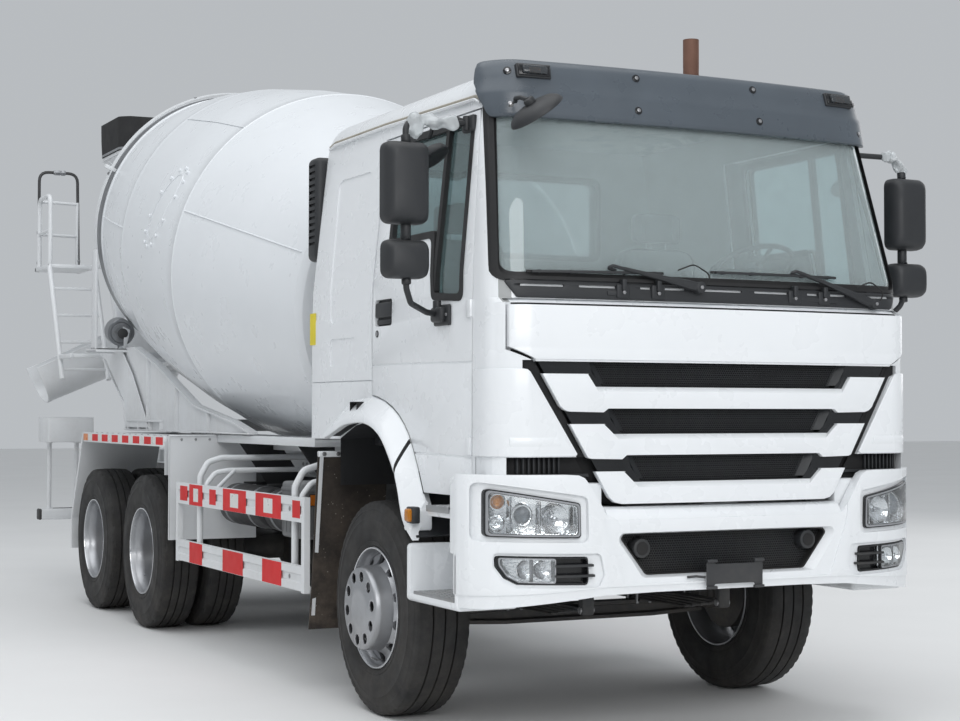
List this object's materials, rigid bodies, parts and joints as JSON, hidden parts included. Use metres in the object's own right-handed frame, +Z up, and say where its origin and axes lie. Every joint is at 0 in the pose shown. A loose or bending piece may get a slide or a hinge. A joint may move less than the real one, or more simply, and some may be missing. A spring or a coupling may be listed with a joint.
{
  "type": "concrete mixer truck",
  "caption": "Cab-over concrete mixer truck, 6x4, with an inclined turning drum, charge hopper, swivelling chute, steered front wheels, opening doors and a lifting front panel.",
  "frame": {"origin": "on the ground under the middle of the truck's bounding box", "axes": "+Z up, the truck faces -Y, its left side is +X"},
  "size_m": [3.06, 9.2, 4.1052],
  "materials": {
    "white_paint": "semi-gloss white paint, dusty",
    "chassis_paint": "satin black paint, dusty",
    "cast_metal": "rough dark cast metal",
    "grey_metal": "dull grey steel",
    "exhaust_steel": "heat-stained steel",
    "black_plastic": "grained dark plastic",
    "rubber": "dull black rubber",
    "tyre": "black tyre rubber, dusty",
    "glass": "lightly tinted clear glass",
    "lamp": "clear lamp lens",
    "seat_fabric": "woven cloth"
  },
  "bodies": {
    "truck": {"air_intake": "black_plastic", "battery_box": "grey_metal", "bogie_springs": "chassis_paint", "bumper": "white_paint", "cab_shell": "white_paint", "charge_hopper": "white_paint", "chassis_frame": "chassis_paint", "dashboard": "black_plastic", "discharge_funnel": "white_paint", "drum_gearbox": "grey_metal", "drum_subframe": "white_paint", "engine_block": "cast_metal", "exhaust_stack": "exhaust_steel", "front_axle": "cast_metal", "front_mudflap_left": "rubber", "front_mudflap_right": "rubber", "fuel_tank": "grey_metal", "headlight_left": "lamp", "headlight_right": "lamp", "hopper_collar": "rubber", "ladder_platform": "white_paint", "rear_axle_1": "cast_metal", "rear_axle_2": "cast_metal", "rear_fender_left": "white_paint", "rear_fender_right": "white_paint", "rear_support": "white_paint", "rear_underrun": "white_paint", "roof_visor": "black_plastic", "seats_and_bunk": "seat_fabric", "side_box_left": "white_paint", "side_box_right": "white_paint", "side_guard_left": "white_paint", "side_guard_right": "white_paint", "windscreen": "glass", "windscreen_cowl": "black_plastic"},
    "steer_left": {"knuckle_left": "cast_metal"},
    "steer_right": {"knuckle_right": "cast_metal"},
    "door_left": {"door_left": "white_paint", "door_glass_left": "glass", "mirror_left": "black_plastic"},
    "door_right": {"door_right": "white_paint", "door_glass_right": "glass", "mirror_right": "black_plastic"},
    "front_panel": {"front_panel": "white_paint"},
    "drum": {"drum": "white_paint"},
    "roller_left": {"drum_roller_left": "grey_metal"},
    "roller_right": {"drum_roller_right": "grey_metal"},
    "chute_swivel": {"chute_swivel_bracket": "white_paint"},
    "chute": {"chute": "white_paint"},
    "front_wheel_left": {"front_wheel_left": "tyre"},
    "front_wheel_right": {"front_wheel_right": "tyre"},
    "rear_twin_wheel_1_left": {"rear_twin_wheel_1_left": "tyre"},
    "rear_twin_wheel_1_right": {"rear_twin_wheel_1_right": "tyre"},
    "rear_twin_wheel_2_left": {"rear_twin_wheel_2_left": "tyre"},
    "rear_twin_wheel_2_right": {"rear_twin_wheel_2_right": "tyre"}
  },
  "joints": [
    {"name": "steer_left", "type": "hinge", "parent": "truck", "child": "steer_left", "pos_m": [0.84, -3.15, 0.535], "axis": [0, 0, 1], "range_deg": [-35, 35]},
    {"name": "steer_right", "type": "hinge", "parent": "truck", "child": "steer_right", "pos_m": [-0.84, -3.15, 0.535], "axis": [0, 0, 1], "range_deg": [-35, 35]},
    {"name": "front_roll_left", "type": "hinge", "parent": "steer_left", "child": "front_wheel_left", "pos_m": [1.015, -3.15, 0.535], "axis": [1, 0, 0], "continuous": true},
    {"name": "front_roll_right", "type": "hinge", "parent": "steer_right", "child": "front_wheel_right", "pos_m": [-1.015, -3.15, 0.535], "axis": [1, 0, 0], "continuous": true},
    {"name": "rear_roll_1_left", "type": "hinge", "parent": "truck", "child": "rear_twin_wheel_1_left", "pos_m": [0, 0.875, 0.535], "axis": [1, 0, 0], "continuous": true},
    {"name": "rear_roll_1_right", "type": "hinge", "parent": "truck", "child": "rear_twin_wheel_1_right", "pos_m": [0, 0.875, 0.535], "axis": [1, 0, 0], "continuous": true},
    {"name": "rear_roll_2_left", "type": "hinge", "parent": "truck", "child": "rear_twin_wheel_2_left", "pos_m": [0, 2.225, 0.535], "axis": [1, 0, 0], "continuous": true},
    {"name": "rear_roll_2_right", "type": "hinge", "parent": "truck", "child": "rear_twin_wheel_2_right", "pos_m": [0, 2.225, 0.535], "axis": [1, 0, 0], "continuous": true},
    {"name": "door_swing_left", "type": "hinge", "parent": "truck", "child": "door_left", "pos_m": [1.143, -4.228, 1.9], "axis": [0, 0, -1], "range_deg": [0, 70]},
    {"name": "door_swing_right", "type": "hinge", "parent": "truck", "child": "door_right", "pos_m": [-1.143, -4.228, 1.9], "axis": [0, 0, 1], "range_deg": [0, 70]},
    {"name": "front_panel_lift", "type": "hinge", "parent": "truck", "child": "front_panel", "pos_m": [0, -4.51, 1.99], "axis": [-1, 0, 0], "range_deg": [0, 70]},
    {"name": "drum_spin", "type": "hinge", "parent": "truck", "child": "drum", "pos_m": [0, 0.175, 2.497], "axis": [0, 0.9806, 0.1961], "continuous": true},
    {"name": "roller_spin_left", "type": "hinge", "parent": "truck", "child": "roller_left", "pos_m": [0.8981, 2.74167, 2.15626], "axis": [0, 0.9806, 0.1961], "continuous": true},
    {"name": "roller_spin_right", "type": "hinge", "parent": "truck", "child": "roller_right", "pos_m": [-0.8981, 2.74167, 2.15626], "axis": [0, 0.9806, 0.1961], "continuous": true},
    {"name": "chute_swing", "type": "hinge", "parent": "truck", "child": "chute_swivel", "pos_m": [0, 4.3, 1.9], "axis": [0, 0, -1], "range_deg": [0, 180]},
    {"name": "chute_tilt", "type": "hinge", "parent": "chute_swivel", "child": "chute", "pos_m": [0, 4.3, 2.2], "axis": [0, 1, 0], "range_deg": [-4, 25]}
  ],
  "couplings": [
    {"joint": "steer_right", "follows": "steer_left", "ratio": 1},
    {"joint": "roller_spin_left", "follows": "drum_spin", "ratio": -10.109},
    {"joint": "roller_spin_right", "follows": "drum_spin", "ratio": -10.109}
  ]
}
